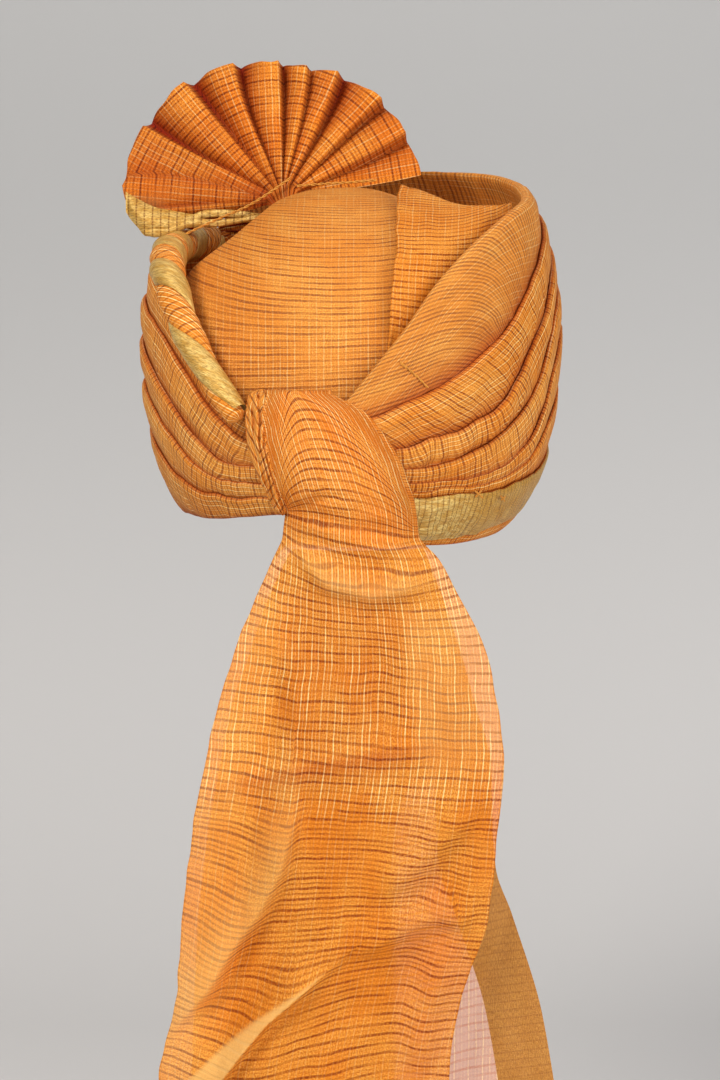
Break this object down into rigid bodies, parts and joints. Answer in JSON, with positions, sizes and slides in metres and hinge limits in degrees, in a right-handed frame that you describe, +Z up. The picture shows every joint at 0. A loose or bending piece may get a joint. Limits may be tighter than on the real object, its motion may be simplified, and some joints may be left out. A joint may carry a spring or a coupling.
{
  "type": "tied turban",
  "caption": "Tied turban of thin checked orange cloth with a gold border: pleated swathes round a soft crown, a twisted roll, a knotted hanging tail and a pleated fan.",
  "frame": {"origin": "middle of the head opening, level with the rim at the back", "axes": "+Z up, +Y the way the wearer faces, +X to the wearer's right; the knot and the tail are at the back, at -Y"},
  "size_m": [0.2506, 0.2969, 0.6792],
  "materials": {
    "checked_cloth": "thin orange cloth with a woven check",
    "gold_border": "woven gold border with a soft shine"
  },
  "bodies": {
    "root": {"crown_cloth": "checked_cloth", "crown_flap": "checked_cloth", "right_swathe": "checked_cloth", "left_swathe": "checked_cloth", "twist_cloth": "checked_cloth", "knot_tuck": "checked_cloth", "tail_front": "checked_cloth", "tail_back": "checked_cloth", "fan": "checked_cloth", "right_border": "gold_border", "twist_border": "gold_border", "tail_border": "gold_border", "fan_border": "gold_border"}
  },
  "joints": []
}
